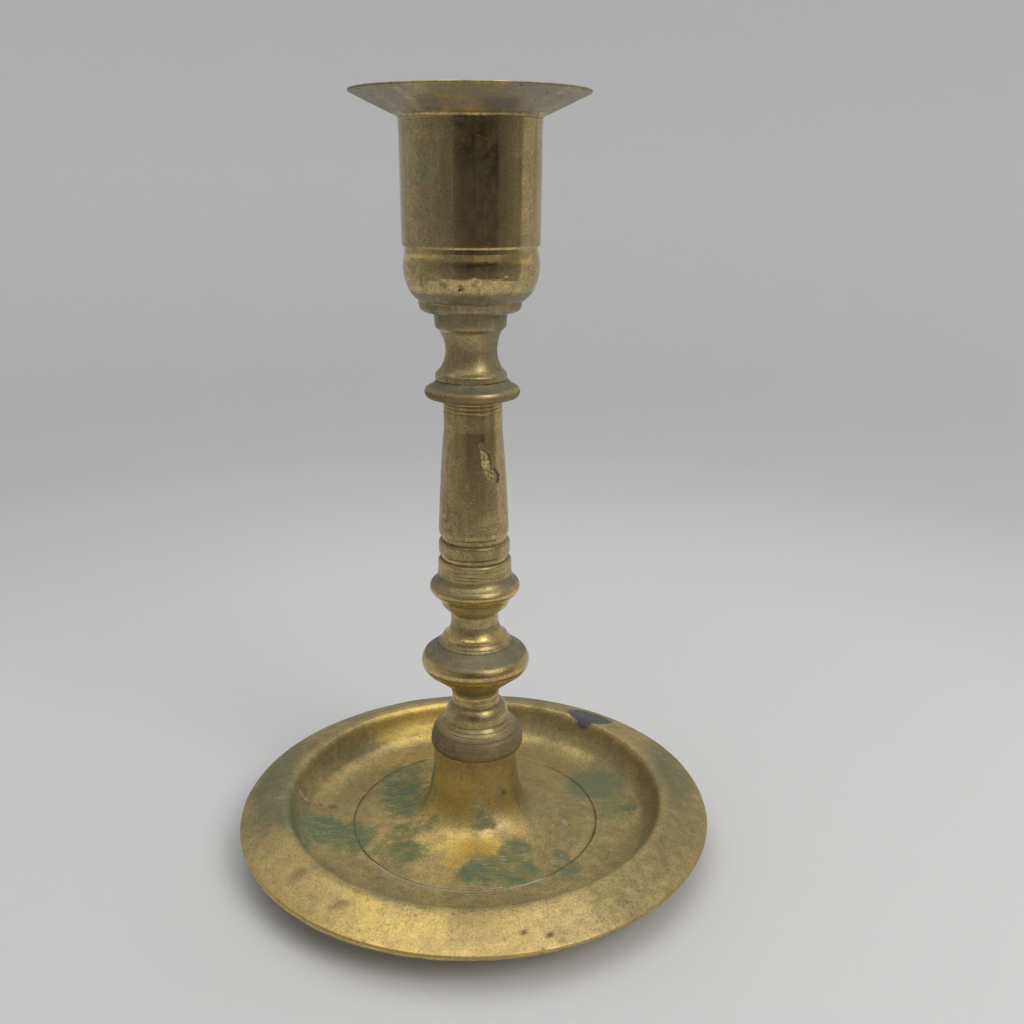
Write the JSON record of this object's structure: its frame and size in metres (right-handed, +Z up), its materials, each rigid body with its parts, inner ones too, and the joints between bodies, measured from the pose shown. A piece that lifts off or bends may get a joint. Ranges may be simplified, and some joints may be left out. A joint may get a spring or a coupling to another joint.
{
  "type": "candlestick",
  "caption": "Turned brass candlestick with a flared lift-out nozzle, a knopped stem and a wide saucer base with a drip well.",
  "frame": {"origin": "centre of the foot ring's face, on the surface that the candlestick stands on", "axes": "+Z up along the candlestick's own axis, which is an axis of symmetry; X and Y are level"},
  "size_m": [0.1042, 0.1042, 0.1587],
  "materials": {
    "base_brass": "aged brass, olive-brown tarnish with green verdigris in the well and rubbed gold on the lip",
    "knop_brass": "turned brass, grey-green film on the upper faces and rubbed gold on the noses",
    "stem_brass": "turned brass with an even olive-brown tarnish",
    "socket_brass": "turned brass, olive tarnish with small pits",
    "nozzle_brass": "turned brass with a mottled grey-green film",
    "rod_iron": "dull dark iron with a little rust"
  },
  "bodies": {
    "candlestick": {"base_dish": "base_brass", "drum_knop": "knop_brass", "main_knop": "knop_brass", "bead_knop": "knop_brass", "stem_ring": "stem_brass", "stem_tube": "stem_brass", "disc_knop": "knop_brass", "neck_spool": "stem_brass", "cup_bowl": "socket_brass", "socket_cup": "socket_brass", "tie_rod": "rod_iron", "rod_washer": "rod_iron", "rod_nut": "rod_iron"},
    "nozzle": {"nozzle": "nozzle_brass"}
  },
  "joints": [
    {"name": "nozzle_lift", "type": "slide", "parent": "candlestick", "child": "nozzle", "axis": [0, 0, 1], "range_m": [0, 0.024]}
  ]
}
